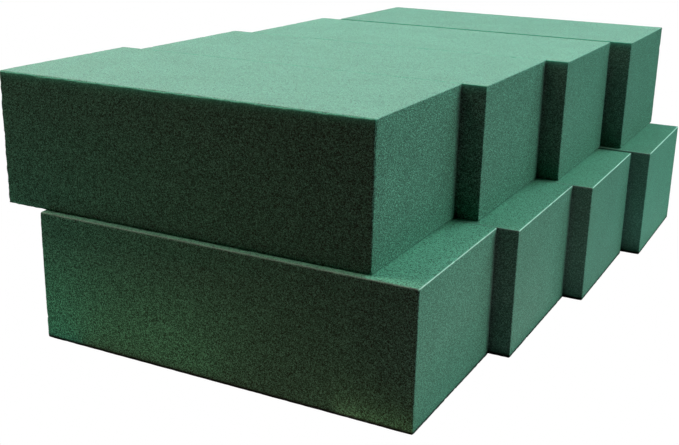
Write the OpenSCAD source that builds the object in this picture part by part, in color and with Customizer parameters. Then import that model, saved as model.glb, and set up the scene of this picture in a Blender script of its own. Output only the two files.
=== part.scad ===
// Floral foam bricks, stacked loose in two layers of four.
// Every brick is the same solid block of foam, with nothing inside it and nothing around it.
// The bricks lie along X, and their rows are counted from the front (-Y) to the back (+Y).
// Each brick stands a little further to the right than the one in front of it, and the upper
// layer is shifted to the left and to the back of the lower one. The back row stands apart.
// The origin is the middle of the base of the stack's bounding box, with +Z up.

/* [Brick] */
// Length of one brick, along X
brick_l = 230; // [150:1:300]
// Width of one brick, along Y
brick_w = 107; // [70:1:140]
// Height of one brick, along Z
brick_h = 76; // [50:1:110]
// Radius of the eased edges
edge_r = 0.8; // [0.4:0.1:3]

/* [Stack] */
// Gap between the long sides of two neighbouring bricks
side_gap = 0.3; // [0.2:0.1:2]
// Gap in front of the back row, which stands a little apart
back_gap = 4; // [0.2:0.1:10]
// How far each lower brick stands out to the right of the one in front of it
lower_step = 12.5; // [0:0.5:30]
// How far each upper brick stands out to the right of the one in front of it
upper_step = 14; // [0:0.5:30]
// How far the first upper brick is shifted left from the first lower one
upper_shift = 26.5; // [0:0.5:60]
// How far the upper layer is set back behind the front of the lower one
upper_setback = 4; // [0:0.5:20]

/* [Hidden] */
rows = 4;
// Number of sides that stands for a true circle
round_fn = 32;
// How far the front of a row lies behind the front of the first one
function row_y(row) =
    (brick_w + side_gap) * (row - 1) + (row == rows ? back_gap - side_gap : 0);
// The ends of the stack, with x = 0 at the right end of the first lower brick
left_end = min(-brick_l, -upper_shift - brick_l);
right_end = max(
    lower_step * (rows - 1),
    upper_step * (rows - 1) - upper_shift
);
depth = row_y(rows) + brick_w + upper_setback;
// What moves those ends to either side of the origin
centre_x = -(left_end + right_end) / 2;
front_y = -depth / 2;

// A rectangle with its near corner at the origin and with rounded corners
module rounded_rectangle(w, h, r) {
    translate([r, 0])
        square([w - 2 * r, h]);
    translate([0, r])
        square([w, h - 2 * r]);
    for (x = [r, w - r], y = [r, h - r])
        translate([x, y])
            circle(r, $fn = round_fn);
}

// The outline of a brick's end (Y, Z), side (X, Z) and top (X, Y), each drawn through the brick
module end_prism() {
    rotate([90, 0, 90])
        linear_extrude(brick_l)
            rounded_rectangle(brick_w, brick_h, edge_r);
}

module side_prism() {
    translate([0, brick_w, 0])
        rotate([90, 0, 0])
            linear_extrude(brick_w)
                rounded_rectangle(brick_l, brick_h, edge_r);
}

module top_prism() {
    linear_extrude(brick_h)
        rounded_rectangle(brick_l, brick_w, edge_r);
}

// One brick with all its edges eased, its near lower left corner at the origin
module brick() {
    intersection() {
        end_prism();
        side_prism();
        top_prism();
    }
}

// A brick whose right end, front and base are at the given place in the stack
module placed_brick(right_x, y, z) {
    translate([centre_x + right_x - brick_l, front_y + y, z])
        brick();
}

module lower_brick(row) {
    color([0.20, 0.41, 0.31])
        placed_brick(lower_step * (row - 1), row_y(row), 0);
}

module upper_brick(row) {
    color([0.24, 0.47, 0.36])
        placed_brick(
            upper_step * (row - 1) - upper_shift,
            row_y(row) + upper_setback,
            brick_h
        );
}

for (row = [1 : rows]) {
    lower_brick(row);
    upper_brick(row);
}
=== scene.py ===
import math

import bpy
import numpy as np
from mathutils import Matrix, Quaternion, Vector


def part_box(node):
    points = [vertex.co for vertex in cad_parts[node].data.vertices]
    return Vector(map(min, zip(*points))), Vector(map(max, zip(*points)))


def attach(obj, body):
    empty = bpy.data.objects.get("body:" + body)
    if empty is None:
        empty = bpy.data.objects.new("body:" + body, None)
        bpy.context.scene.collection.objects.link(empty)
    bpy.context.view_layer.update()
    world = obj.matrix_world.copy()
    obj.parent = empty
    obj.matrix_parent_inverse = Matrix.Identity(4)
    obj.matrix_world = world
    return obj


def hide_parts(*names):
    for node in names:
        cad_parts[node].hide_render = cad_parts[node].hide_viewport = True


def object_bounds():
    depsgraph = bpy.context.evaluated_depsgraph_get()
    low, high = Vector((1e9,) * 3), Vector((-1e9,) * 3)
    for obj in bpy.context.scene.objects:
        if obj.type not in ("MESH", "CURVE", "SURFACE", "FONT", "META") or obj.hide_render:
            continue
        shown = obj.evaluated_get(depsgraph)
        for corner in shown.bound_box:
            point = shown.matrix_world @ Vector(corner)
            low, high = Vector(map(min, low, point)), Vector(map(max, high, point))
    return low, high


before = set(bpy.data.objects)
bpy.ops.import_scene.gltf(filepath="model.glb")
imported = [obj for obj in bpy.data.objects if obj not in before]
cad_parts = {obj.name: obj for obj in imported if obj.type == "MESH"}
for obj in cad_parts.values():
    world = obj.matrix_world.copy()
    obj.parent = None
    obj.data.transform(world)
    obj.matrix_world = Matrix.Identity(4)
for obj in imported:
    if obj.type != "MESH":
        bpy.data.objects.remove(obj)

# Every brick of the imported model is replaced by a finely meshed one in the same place: soft worn
# edges, small chips and dents, and a faintly uneven cut surface. Relief only goes inwards, and only
# the long sides of the upper bricks are set outwards a little.
cad_low, cad_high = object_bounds()
STACK_CENTRE = (cad_low + cad_high) / 2
MM = 0.001

# ---- Mesh, in millimetres ----
RIM_STEP, RIM_STEPS = 0.2, 4  # spacing of the mesh lines at an edge, and how many keep it
STEP_GROWTH = 1.3  # how fast the spacing grows away from an edge
FACE_STEP = 1.25  # spacing of the mesh lines over the faces
NOISE_CELLS = 32  # after so many cells the noise repeats
SEED_STEP = 100  # between the random seeds of two bricks

# ---- Brick surface, in millimetres ----
RIM = 0.7  # radius of the soft edges
SEAM_RIM, FRONT_RIM = 0.2, 1.0  # of the long top edges, and of the first row's front top edges
EDGE_BLEND = 4.0  # how far from a long edge its own radius and wear reach
INSET = 0.04  # the whole skin lies this far inside the CAD solid
SWELL = 0.12  # how far the upper bricks' long sides stand out of it, so that they all but touch
WAVE_SIZE, WAVE_DEPTH = 40.0, 0.08  # slow unevenness of the sawn faces
GRAIN_SIZE, GRAIN_DEPTH = 2.7, 0.06  # coarse grain of open cells
CRUMB_SIZE, CRUMB_DEPTH = 2.2, 0.16  # roughness along the edges
FINE_CRUMBS = 0.5  # share of the crumbs of half that size
FRONT_CRUMB_DEPTH = 0.9  # along the very front edges of the upper layer, which are the most worn
EDGE_REACH = 0.8  # how far from an edge its roughness reaches
CORNER_REACH, CORNER_DEPTH = 1.6 * EDGE_REACH, 0.15  # how far the corners are worn, and how deep
PAINTED_GLOW_REACH = 1.5  # how far down from an upper brick's front top edge the painted glow reaches, standing in for light that comes through the edge
BASE_SHADE_REACH = 2.0  # how far up from its base edges a lower brick carries painted shade
END_BASE_SHADE_REACH = 0.6  # the same painted shade at an upper brick's ends, where they stand on the brick below
RUB_AND_HIGHLIGHT_REACH = 0.45  # how far from an end top edge it is rubbed pale and carries a painted highlight
FRONT_RUB_AND_HIGHLIGHT_REACH = 0.7  # how far from a lower brick's front top edge
SKIN_RELIEF = 0.4  # relief of the moulded face, as a share of the sawn faces' relief

# ---- Marks on a brick: how many, and the ranges of their radius and depth in millimetres ----
PITS, PIT_RADII, PIT_DEPTHS = 40, (0.9, 1.6), (0.15, 0.4)  # pin holes
DENTS, DENT_RADII, DENT_DEPTHS = 7, (6, 16), (0.1, 0.25)  # shallow dents
CHIPS, CHIP_RADII, CHIP_DEPTHS = 14, (1.2, 2.4), (0.1, 0.4)  # chips along the edges

# ---- Cells: their size in millimetres, and how strongly they show on each face ----
CELL_SIZE = 0.36
GRAIN_SIDE, GRAIN_FLAT, GRAIN_SKIN = 1.35, 1.15, 0.85  # long sides, sawn flats, moulded faces
GRAIN_SIDE_LOW = 0.85  # on the fronts of the lower bricks behind the first
GRAIN_END_UPPER, GRAIN_END_LOWER = 0.92, 0.58  # on the ends
GRAIN_ROWS = (1.0, 0.85, 0.6, 0.5)  # share of it on the sawn faces of each row, from the front
RUB_AND_HIGHLIGHT_UPPER, RUB_AND_HIGHLIGHT_LOWER = 0.1, 1.0  # how pale the end top edges are painted: rubbed dust and a painted highlight, which shows on the lower bricks
FRONT_RUB_AND_HIGHLIGHT = 0.35  # how pale a lower brick's front top edge is painted: rubbed dust and a painted highlight
# Painted light and shade: how much lighter or darker each brick is painted from front to back, and its
# top and underside further, standing in for light that is stronger on some bricks than the lamps make it;
# the top of lower brick 1 is painted lighter and that of lower brick 4 darker, for light that falls off
# towards the back
PAINTED_LIGHT_UPPER, PAINTED_LIGHT_LOWER = (1.08, 0.98, 0.94, 0.89), (1.10, 1.02, 1.02, 1.15)
FLAT_PAINTED_LIGHT_UPPER, FLAT_PAINTED_LIGHT_LOWER = (0.95, 1.05, 1.12, 1.08), (1.42, 1.20, 1.0, 0.70)
PAINTED_GLOW = 0.8  # how strongly the painted glow shows along an upper brick's front top edge, standing in for light that comes through it

# ---- Camera: place in metres, line of sight in degrees and lens in millimetres, all of them fitted
# to the corners of the photographed bricks ----
CAMERA_POSITION = (0.27920, -0.63133, 0.25073)
CAMERA_AZIMUTH = 27.163
CAMERA_ELEVATION = 17.853
CAMERA_ROLL = 1.303
CAMERA_LENS = 55.010

# ---- Studio light, in watts and metres. The powers and colours here and in lights() were fitted to
# the tones of the photographed faces, and then rounded and partly adjusted ----
SOFTBOX_SIZE = 1.6
SOFTBOX_DISTANCE = 3.0
BOUNCE_HEIGHT = 0.001  # how far the lights on the floor lie above it
FOOT_SIZE, FOOT_OFFSET = (0.04, 0.10), 0.022  # the floor light at each row's right end
FOOT_POWERS = (0.0027, 0.0044, 0.0078, 0.0050)  # from front to back
FOOT_COLOUR = (1.15, 1.0, 1.1)

# ---- Floor and backdrop, in metres ----
FLOOR_REACH, BACKDROP_HEIGHT = 9.0, 12.0
FLOOR_SIDES = 48  # round the middle
FLOOR_RINGS, BACKDROP_RINGS = 8, 16  # outwards, and then up


def noise(points, size, seed):
    """Smooth noise from 0 to 1 at points in millimetres, with features of about that size."""
    table = np.random.default_rng(seed).random((NOISE_CELLS,) * 3, dtype=np.float32)
    at = points / size
    cell = np.floor(at).astype(int)
    part = at - cell
    part = part * part * (3 - 2 * part)
    low, high = cell % NOISE_CELLS, (cell + 1) % NOISE_CELLS
    total = np.zeros(len(points))
    for corner in np.ndindex(2, 2, 2):
        share = np.ones(len(points))
        index = []
        for axis, side in enumerate(corner):
            share *= part[:, axis] if side else 1 - part[:, axis]
            index.append(high[:, axis] if side else low[:, axis])
        total += share * table[tuple(index)]
    return total


def mesh_lines(length):
    """Places of the mesh lines along one side of a brick, closer together near its ends."""
    steps = [RIM_STEP] * RIM_STEPS
    step = RIM_STEP * STEP_GROWTH
    while step < FACE_STEP:
        steps.append(step)
        step *= STEP_GROWTH
    ends = np.concatenate([[0.0], np.cumsum(steps)])
    count = math.ceil((length - 2 * ends[-1]) / FACE_STEP)
    middle = np.linspace(ends[-1], length - ends[-1], count + 1)
    return np.concatenate([ends[:-1], middle, length - ends[::-1][1:]]) - length / 2


def lattice(size):
    """Points and quads of a closed box whose faces share their edge points."""
    lines = [mesh_lines(side) for side in size]
    counts = [len(line) for line in lines]
    place = np.indices(counts)
    last = np.array(counts)[:, None, None, None] - 1
    outside = ((place == 0) | (place == last)).any(axis=0)
    number = np.full(counts, -1)
    number[outside] = np.arange(outside.sum())
    points = np.stack([lines[k][place[k][outside]] for k in range(3)], axis=1)
    quads = []
    for axis in range(3):
        for side in (0, -1):
            sheet = np.take(number, side, axis=axis)
            quad = np.stack([sheet[:-1, :-1], sheet[1:, :-1], sheet[1:, 1:], sheet[:-1, 1:]], axis=-1)
            quad = quad.reshape(-1, 4)
            # with the axes in order, the loop above turns about +X, -Y and +Z
            turns_outward = (side == -1) == (axis != 1)
            quads.append(quad if turns_outward else quad[:, ::-1])
    return points, np.concatenate(quads)


def fade(distance, reach):
    """1 at no distance, falling smoothly to nearly 0 at twice the reach."""
    return np.exp(-((distance / reach) ** 2))


def edge_radius(points, half, front_rim, base_rim):
    """Radius of the rounding at each point of the box: its long edges have their own."""
    to_front, to_back = half[1] + points[:, 1], half[1] - points[:, 1]
    to_base, to_top = half[2] + points[:, 2], half[2] - points[:, 2]
    radius = (
        RIM
        + (front_rim - RIM) * fade(np.maximum(to_front, to_top), EDGE_BLEND)
        + (SEAM_RIM - RIM) * fade(np.maximum(to_back, to_top), EDGE_BLEND)
        + (base_rim - RIM) * fade(np.maximum(to_front, to_base), EDGE_BLEND)
    )
    return radius[:, None]


def rounded(points, half, radius):
    """The box's points moved onto its rounded edges, and the direction out of the skin at each."""
    core = np.clip(points, -(half - radius), half - radius)
    out = points - core
    out /= np.linalg.norm(out, axis=1, keepdims=True)
    return core + out * radius, out


def hollows(points, rng, centres, radius_range, depth_range):
    """Depth of round hollows at the points: each is deepest at its centre, and fades to its rim."""
    radii = rng.uniform(*radius_range, len(centres))
    depths = rng.uniform(*depth_range, len(centres))
    depth = np.zeros(len(points))
    for centre, radius, deep in zip(centres, radii, depths):
        near = np.abs(points - centre).max(axis=1) < radius
        away = np.linalg.norm(points[near] - centre, axis=1) / radius
        depth[near] = np.maximum(depth[near], deep * np.clip(1 - away * away, 0, 1) ** 1.5)
    return depth


def on_faces(rng, half, count):
    """Random points on the faces of the box."""
    spots = rng.uniform(-1, 1, (count, 3)) * half
    areas = np.array([half[1] * half[2], half[0] * half[2], half[0] * half[1]])
    axes = rng.choice(3, count, p=areas / areas.sum())
    spots[np.arange(count), axes] = half[axes] * rng.choice([-1, 1], count)
    return spots


def on_edges(rng, half, count):
    """Random points along the edges of the box."""
    spots = rng.choice([-1.0, 1.0], (count, 3)) * half
    axes = rng.choice(3, count, p=half / half.sum())
    spots[np.arange(count), axes] = rng.uniform(-1, 1, count) * half[axes]
    return spots


def foam_surface(size, seed, row, upper):
    """Points, quads and shading values of one brick, centred on the origin.

    The smooth moulded face is on top of an upper brick and underneath a lower one."""
    rng = np.random.default_rng(seed)
    half = np.array(size) / 2
    flat, quads = lattice(size)
    front_rim = FRONT_RIM if row == 1 else SEAM_RIM
    base_rim = SEAM_RIM if upper else RIM
    points, out = rounded(flat, half, edge_radius(flat, half, front_rim, base_rim))

    # the moulded skin starts where an edge has turned to within 60 degrees of the moulded face
    moulded = out[:, 2] if upper else -out[:, 2]
    skin = np.clip(2 * moulded - 1, 0, 1)
    relief = 1 - (1 - SKIN_RELIEF) * skin
    to_face = np.sort(half - np.abs(flat), axis=1)
    edge = fade(to_face[:, 1], EDGE_REACH)
    corner = fade(to_face[:, 2], CORNER_REACH) * edge

    wave = noise(points, WAVE_SIZE, seed + 1) * WAVE_DEPTH
    grain = noise(points, GRAIN_SIZE, seed + 2) ** 2 * GRAIN_DEPTH * relief
    coarse, fine = noise(points, CRUMB_SIZE, seed + 3), noise(points, CRUMB_SIZE / 2, seed + 4)
    most_worn = fade(half[1] + flat[:, 1], EDGE_BLEND) * (upper and row == 1)
    crumb_depth = CRUMB_DEPTH + (FRONT_CRUMB_DEPTH - CRUMB_DEPTH) * most_worn
    crumb = (coarse**2 + FINE_CRUMBS * fine**3) * crumb_depth * edge + CORNER_DEPTH * corner
    pits = hollows(points, rng, on_faces(rng, half, PITS), PIT_RADII, PIT_DEPTHS)
    dents = hollows(points, rng, on_faces(rng, half, DENTS), DENT_RADII, DENT_DEPTHS)
    chips = hollows(points, rng, on_edges(rng, half, CHIPS), CHIP_RADII, CHIP_DEPTHS)
    skin_depth = INSET - (INSET + SWELL) * out[:, 1] ** 2 if upper else INSET
    depth = skin_depth + wave * relief + grain + crumb + pits * relief + dents + chips

    shading = foam_shading(flat, out, half, row, upper)
    shading["skin"] = skin
    # painted shade in the pin holes, darker where they are deeper
    shading["pin_hole_shade"] = np.clip(pits / PIT_DEPTHS[1], 0, 1)
    shading["grainy"] = graininess(out, skin, row, upper)
    return points - out * depth[:, None], quads, shading


def graininess(out, skin, row, upper):
    """How strongly the cells show at each point."""
    side, end, flat_face = out[:, 1] ** 2, out[:, 0] ** 2, out[:, 2] ** 2
    grain_side = GRAIN_SIDE if upper or row == 1 else GRAIN_SIDE_LOW
    grain_end = GRAIN_END_UPPER if upper else GRAIN_END_LOWER
    sawn_grain = grain_side * side + grain_end * end + GRAIN_FLAT * flat_face * (1 - skin)
    return sawn_grain * GRAIN_ROWS[row - 1] + GRAIN_SKIN * flat_face * skin


def foam_shading(flat, out, half, row, upper):
    """Painted light and shade of each brick, painted glow along the upper bricks' front top edges, rubbed
    pale edges with a painted highlight, and painted shade along the base edges, at each point.
    """
    side, end, flat_face = out[:, 1] ** 2, out[:, 0] ** 2, out[:, 2] ** 2
    painted_light = (PAINTED_LIGHT_UPPER if upper else PAINTED_LIGHT_LOWER)[row - 1]
    flat_painted_light = (FLAT_PAINTED_LIGHT_UPPER if upper else FLAT_PAINTED_LIGHT_LOWER)[row - 1]
    to_sides = (half - np.abs(flat))[:, :2].min(axis=1)
    to_end_top = np.maximum(half[0] - np.abs(flat[:, 0]), half[2] - flat[:, 2])
    to_front_top = np.maximum(half[1] + flat[:, 1], half[2] - flat[:, 2])
    to_base = np.maximum(to_sides, half[2] + flat[:, 2])
    # rubbed dust and a painted highlight along the end top edges, and along a lower brick's front top
    # edge
    end_rub_and_highlight = fade(to_end_top, RUB_AND_HIGHLIGHT_REACH) * (RUB_AND_HIGHLIGHT_UPPER if upper else RUB_AND_HIGHLIGHT_LOWER)
    front_rub_and_highlight = fade(to_front_top, FRONT_RUB_AND_HIGHLIGHT_REACH) * (0 if upper else FRONT_RUB_AND_HIGHLIGHT)
    base_shade_reach = END_BASE_SHADE_REACH if upper else BASE_SHADE_REACH
    return {
        # painted light and shade of the brick, and further of its top and underside
        "painted_light": painted_light * (1 + (flat_painted_light - 1) * flat_face),
        # the sides, painted darker than the tops as painted shade
        "shaded_sides": np.clip(side + end, 0, 1),
        "rub_and_highlight": np.maximum(end_rub_and_highlight, front_rub_and_highlight),
        # painted glow along an upper brick's front top edge
        "painted_glow": np.exp(-to_front_top / PAINTED_GLOW_REACH) * side * (PAINTED_GLOW if upper else 0),
        # painted shade along the base edges
        "base_shade": np.exp(-((to_base / base_shade_reach) ** 8)) * (end if upper else 1),
    }


def new_object(name, data):
    """An object in the scene that shows the given data."""
    made = bpy.data.objects.new(name, data)
    bpy.context.scene.collection.objects.link(made)
    return made


def mesh_from(name, points, quads, shading):
    """A smooth-shaded mesh in metres that carries each shading value as an attribute."""
    mesh = bpy.data.meshes.new(name)
    mesh.vertices.add(len(points))
    mesh.vertices.foreach_set("co", points.astype(np.float32).ravel())
    mesh.loops.add(quads.size)
    mesh.loops.foreach_set("vertex_index", quads.astype(np.int32).ravel())
    mesh.polygons.add(len(quads))
    mesh.polygons.foreach_set("loop_start", np.arange(0, quads.size, 4, dtype=np.int32))
    mesh.update(calc_edges=True)
    mesh.validate()
    mesh.shade_smooth()
    for key, values in shading.items():
        attribute = mesh.attributes.new(key, "FLOAT", "POINT")
        attribute.data.foreach_set("value", values.astype(np.float32))
    return mesh


def brick(node, seed, material):
    """The detailed brick that stands for one CAD node and rides on its body."""
    low, high = (np.array(corner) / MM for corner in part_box(node))
    row = int(node[-1])
    points, quads, shading = foam_surface(high - low, seed, row, node.startswith("upper"))
    points = (points + (low + high) / 2) * MM
    name = "foam_" + node
    piece = new_object(name, mesh_from(name, points, quads, shading))
    piece.data.materials.append(material)
    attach(piece, node)
    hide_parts(node)


class Nodes:
    """A material, with short calls for making and joining its shader nodes."""

    def __init__(self, name):
        self.material = bpy.data.materials.new(name)
        self.material.use_nodes = True
        self.tree = self.material.node_tree
        self.tree.nodes.clear()

    def add(self, kind, **settings):
        made = self.tree.nodes.new(kind)
        for key, value in settings.items():
            setattr(made, key, value)
        return made

    def join(self, output, target):
        self.tree.links.new(output, target)

    def show(self, shader):
        """Ends the material: this shader is what its surface shows."""
        output = self.add("ShaderNodeOutputMaterial")
        self.join(shader, output.inputs["Surface"])
        return self.material

    def value(self, source, target):
        """Links a socket, or sets a plain number."""
        if isinstance(source, (int, float)):
            target.default_value = source
        else:
            self.join(source, target)

    def math(self, operation, first, second):
        made = self.add("ShaderNodeMath", operation=operation)
        self.value(first, made.inputs[0])
        self.value(second, made.inputs[1])
        return made.outputs[0]

    def noise(self, vector, size_mm, detail):
        made = self.add("ShaderNodeTexNoise")
        made.inputs["Scale"].default_value = 1 / (size_mm * MM)
        made.inputs["Detail"].default_value = detail
        self.join(vector, made.inputs["Vector"])
        return made.outputs["Fac"]

    def cells(self, vector, size_mm):
        """Distance from the middle of the nearest foam cell, and a random number for each cell."""
        made = self.add("ShaderNodeTexVoronoi")
        made.inputs["Scale"].default_value = 1 / (size_mm * MM)
        self.join(vector, made.inputs["Vector"])
        split = self.add("ShaderNodeSeparateColor")
        self.join(made.outputs["Color"], split.inputs["Color"])
        return made.outputs["Distance"], split.outputs["Red"]

    def span(self, source, low, high, to_low=0.0, to_high=1.0):
        made = self.add("ShaderNodeMapRange")
        self.join(source, made.inputs["Value"])
        for key, value in zip(("From Min", "From Max", "To Min", "To Max"), (low, high, to_low, to_high)):
            self.value(value, made.inputs[key])
        return made.outputs["Result"]

    def tint(self, colour, factor):
        """The colour times a number."""
        made = self.add("ShaderNodeVectorMath", operation="SCALE")
        self.join(colour, made.inputs[0])
        self.join(factor, made.inputs["Scale"])
        return made.outputs["Vector"]

    def mix(self, share, first, second):
        made = self.add("ShaderNodeMix", data_type="RGBA")
        self.value(share, made.inputs["Factor"])
        for key, colour in (("A", first), ("B", second)):
            target = next(s for s in made.inputs if s.name == key and s.type == "RGBA")
            if isinstance(colour, tuple):
                target.default_value = (*colour, 1.0)
            else:
                self.join(colour, target)
        return next(s for s in made.outputs if s.type == "RGBA")


# ---- Foam colours ----
FOAM_SIDES_AND_SHADE = (0.041, 0.150, 0.097)  # fronts, backs and ends: partly their own colour and partly painted shade, painted darker than the sawn tops with the lamps brightened to match, so that faces lit only by light bounced off a neighbour come out dark
FOAM_FLAT = (0.130, 0.424, 0.278)  # sawn tops and undersides
FOAM_SKIN_AND_SHEEN = (0.208, 0.510, 0.378)  # moulded faces: partly their own paler colour and partly painted sheen, greyed for the glare along the tops
FOAM_DEEP_AND_HOLE_SHADE = (0.008, 0.028, 0.018)  # the depth of a cell, and the painted shade in a pin hole
FOAM_WALL = (0.174, 0.503, 0.352)  # the walls between the cells
FOAM_PAINTED_GLOW = (0.14, 0.90, 0.58)  # painted glow along a top edge, standing in for light that comes through it
FOAM_DUST_AND_HIGHLIGHT = (0.66, 0.96, 0.84)  # where an edge is rubbed pale, with a painted highlight along it
FOAM_BASE_SHADE = (0.006, 0.015, 0.010)  # painted shade along the base edges, where a brick meets the floor or the brick below

# ---- Foam material: sizes in millimetres ----
DARK_BELOW, PALE_ABOVE = 0.50, 0.62  # a cell's random number: the lowest are dark, the highest pale
BLOTCH_SIZE, BLOTCH_DETAIL = 30.0, 3.0
BLOTCH_NOISE, BLOTCH_TONES = (0.35, 0.65), (0.95, 1.05)  # this part of the noise gives these tones
PIN_HOLE_SHADE = 0.4  # how dark the painted shade in a pin hole is
BUMP_DEPTH = 0.25
BUMP_CELLS = 0.6  # how much the cells differ in height, as a share of their walls' height
BUMP_STRENGTHS = (0.1, 1.0)  # where the cells do not show, and where they show fully
ROUGHNESS_SAWN, ROUGHNESS_SKIN = 0.95, 0.50


def foam_material():
    """Open-cell foam: every cell is a little pit of its own shade between paler walls."""
    n = Nodes("floral_foam")
    place = n.add("ShaderNodeTexCoord").outputs["Object"]
    keys = ("skin", "shaded_sides", "grainy", "painted_light", "pin_hole_shade", "painted_glow", "rub_and_highlight", "base_shade")
    skin, shaded_sides, grainy, painted_light, pin_hole_shade, painted_glow, rub_and_highlight, base_shade = (
        n.add("ShaderNodeAttribute", attribute_name=key).outputs["Fac"] for key in keys
    )

    middle, shade = n.cells(place, CELL_SIZE)
    dark = n.math("MULTIPLY", n.span(shade, DARK_BELOW, 0.0), grainy)
    pale = n.math("MULTIPLY", n.span(shade, PALE_ABOVE, 1.0), grainy)
    patches = n.span(n.noise(place, BLOTCH_SIZE, BLOTCH_DETAIL), *BLOTCH_NOISE, *BLOTCH_TONES)
    # random blotches times the brick's painted light and shade
    blotch_and_painted_light = n.math("MULTIPLY", patches, painted_light)

    # sides painted darker than the sawn tops as painted shade, moulded faces greyed as painted sheen
    ground = n.mix(skin, n.mix(shaded_sides, FOAM_FLAT, FOAM_SIDES_AND_SHADE), FOAM_SKIN_AND_SHEEN)
    opened = n.mix(dark, n.tint(ground, blotch_and_painted_light), FOAM_DEEP_AND_HOLE_SHADE)
    celled = n.mix(pale, opened, FOAM_WALL)
    # painted shade in the pin holes
    with_hole_shade = n.mix(n.math("MULTIPLY", pin_hole_shade, PIN_HOLE_SHADE), celled, FOAM_DEEP_AND_HOLE_SHADE)
    # painted glow along the upper bricks' front top edges
    with_painted_glow = n.mix(painted_glow, with_hole_shade, FOAM_PAINTED_GLOW)
    # rubbed dust and a painted highlight along the top edges
    dusted_and_highlit = n.mix(rub_and_highlight, with_painted_glow, FOAM_DUST_AND_HIGHLIGHT)
    # painted shade along the base edges
    colour = n.mix(base_shade, dusted_and_highlit, FOAM_BASE_SHADE)

    bump = n.add("ShaderNodeBump")
    bump.inputs["Distance"].default_value = BUMP_DEPTH * MM
    n.join(n.math("ADD", n.math("MULTIPLY", shade, BUMP_CELLS), middle), bump.inputs["Height"])
    n.join(n.span(grainy, 0.0, 1.0, *BUMP_STRENGTHS), bump.inputs["Strength"])

    foam = n.add("ShaderNodeBsdfPrincipled")
    n.join(n.span(skin, 0.0, 1.0, ROUGHNESS_SAWN, ROUGHNESS_SKIN), foam.inputs["Roughness"])
    n.join(colour, foam.inputs["Base Color"])
    n.join(bump.outputs["Normal"], foam.inputs["Normal"])
    return n.show(foam.outputs["BSDF"])


def camera():
    """The camera, aimed by its compass angle, its height angle and a small roll."""
    azimuth, elevation = math.radians(CAMERA_AZIMUTH), math.radians(CAMERA_ELEVATION)
    forward = Vector(
        (
            -math.sin(azimuth) * math.cos(elevation),
            math.cos(azimuth) * math.cos(elevation),
            -math.sin(elevation),
        )
    )
    data = bpy.data.cameras.new("camera")
    data.lens = CAMERA_LENS
    made = new_object("camera", data)
    made.location = CAMERA_POSITION
    made.rotation_mode = "QUATERNION"
    roll = Quaternion((0, 0, 1), math.radians(CAMERA_ROLL))
    made.rotation_quaternion = forward.to_track_quat("-Z", "Y") @ roll
    bpy.context.scene.camera = made


def area_light(name, size, power, colour):
    """A rectangular soft light that the camera does not see."""
    data = bpy.data.lights.new(name, "AREA")
    data.shape = "RECTANGLE"
    data.size, data.size_y = size
    data.energy = power
    data.color = colour
    made = new_object(name, data)
    made.visible_camera = False
    return made


def softbox(name, azimuth, elevation, power, colour):
    """A softbox that faces the middle of the stack from a compass angle and a height angle."""
    a, e = math.radians(azimuth), math.radians(elevation)
    away = Vector((math.sin(a) * math.cos(e), -math.cos(a) * math.cos(e), math.sin(e)))
    made = area_light(name, (SOFTBOX_SIZE, SOFTBOX_SIZE), power, colour)
    made.location = STACK_CENTRE + away * SOFTBOX_DISTANCE
    made.rotation_mode = "QUATERNION"
    made.rotation_quaternion = (-away).to_track_quat("-Z", "Y")


def bounce(name, x, y, size, power, colour):
    """Light that a patch of the floor beside the stack sends back up, with its middle at x, y."""
    made = area_light(name, size, power, colour)
    made.location = (x, y, BOUNCE_HEIGHT)
    made.rotation_euler = (math.pi, 0, 0)


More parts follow.
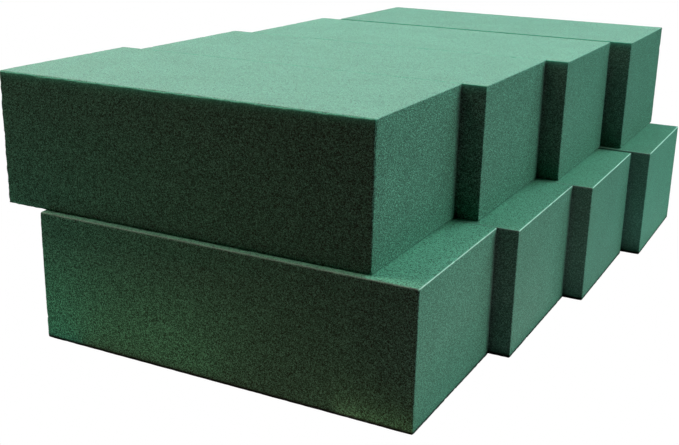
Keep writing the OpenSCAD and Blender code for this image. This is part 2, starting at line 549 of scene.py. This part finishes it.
def lights():
    """Soft studio light from the sides, behind and above, and what the floor sends back of it."""
    # compass angle and height angle in degrees, watts, colour
    softbox("right_low", 110, 12, 57.7, (0.77, 1.0, 0.92))
    softbox("back_right", 150, 35, 45.6, (0.62, 1.0, 0.97))
    softbox("back_steep", 180, 75, 15.6, (1.35, 1.0, 1.05))
    softbox("back_left_high", 225, 55, 10.4, (0.4, 1.0, 1.7))
    softbox("left_high", 270, 60, 84.0, (1.29, 1.0, 0.89))
    # x and y from the middle of the stack's base, width and depth, all in metres, watts, colour
    bounce("floor_front_left", -0.22, -0.3185, (0.25, 0.20), 0.103, (0.52, 1.0, 0.80))
    bounce("floor_front_far", -0.35, -0.62, (0.50, 0.30), 0.160, (3.3, 1.0, 0.7))
    bounce("floor_front_middle", -0.10, -0.2535, (0.20, 0.06), 0.0183, (0.67, 1.0, 0.56))
    bounce("floor_front_right", -0.02, -0.3185, (0.20, 0.20), 0.0339, (1.48, 1.0, 0.68))
    bounce("floor_front_edge", 0.095, -0.2245, (0.055, 0.012), 0.00128, (1.3, 1.0, 0.56))
    bounce("floor_right_front", 0.28, -0.15, (0.30, 0.25), 0.143, (1.7, 1.0, 1.15))
    bounce("floor_right_back", 0.31, 0.12, (0.30, 0.25), 0.165, (0.85, 1.0, 1.14))
    for row, power in enumerate(FOOT_POWERS, 1):
        low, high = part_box(f"lower_brick_{row}")
        x, y = high[0] + FOOT_OFFSET, (low[1] + high[1]) / 2
        bounce(f"floor_foot_{row}", x, y, FOOT_SIZE, power, FOOT_COLOUR)


def dark_world():
    """No light comes from the surroundings."""
    world = bpy.data.worlds.new("studio")
    world.use_nodes = True
    world.node_tree.nodes["Background"].inputs["Color"].default_value = (0, 0, 0, 1)
    bpy.context.scene.world = world


def floor_material():
    """The same plain white from everywhere."""
    n = Nodes("floor_white")
    glow = n.add("ShaderNodeEmission")
    glow.inputs["Color"].default_value = (1, 1, 1, 1)
    return n.show(glow.outputs["Emission"])


def floor():
    """A plain white floor that curves up into a white backdrop far away. It lights nothing."""
    profile = [(FLOOR_REACH * k / FLOOR_RINGS, 0.0) for k in range(FLOOR_RINGS + 1)]
    for t in np.linspace(0, math.pi / 2, BACKDROP_RINGS + 1)[1:]:
        profile.append((FLOOR_REACH * math.cos(t), BACKDROP_HEIGHT * math.sin(t)))
    points, quads = [], []
    for radius, z in profile:
        for k in range(FLOOR_SIDES):
            turn = 2 * math.pi * k / FLOOR_SIDES
            points.append((radius * math.cos(turn), radius * math.sin(turn), z))
    for ring in range(len(profile) - 1):
        inner, outer = ring * FLOOR_SIDES, (ring + 1) * FLOOR_SIDES
        for k in range(FLOOR_SIDES):
            right = (k + 1) % FLOOR_SIDES
            quads.append((inner + k, inner + right, outer + right, outer + k))
    mesh = bpy.data.meshes.new("floor")
    mesh.from_pydata(points, [], quads)
    mesh.validate()
    made = new_object("floor", mesh)
    made.data.materials.append(floor_material())
    made.visible_diffuse = False
    made.visible_glossy = False
    made.visible_shadow = False


bpy.context.scene.view_settings.view_transform = "Standard"
camera()
lights()
dark_world()
floor()
foam = foam_material()
for index, node in enumerate(sorted(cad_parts), 1):
    brick(node, SEED_STEP * index, foam)
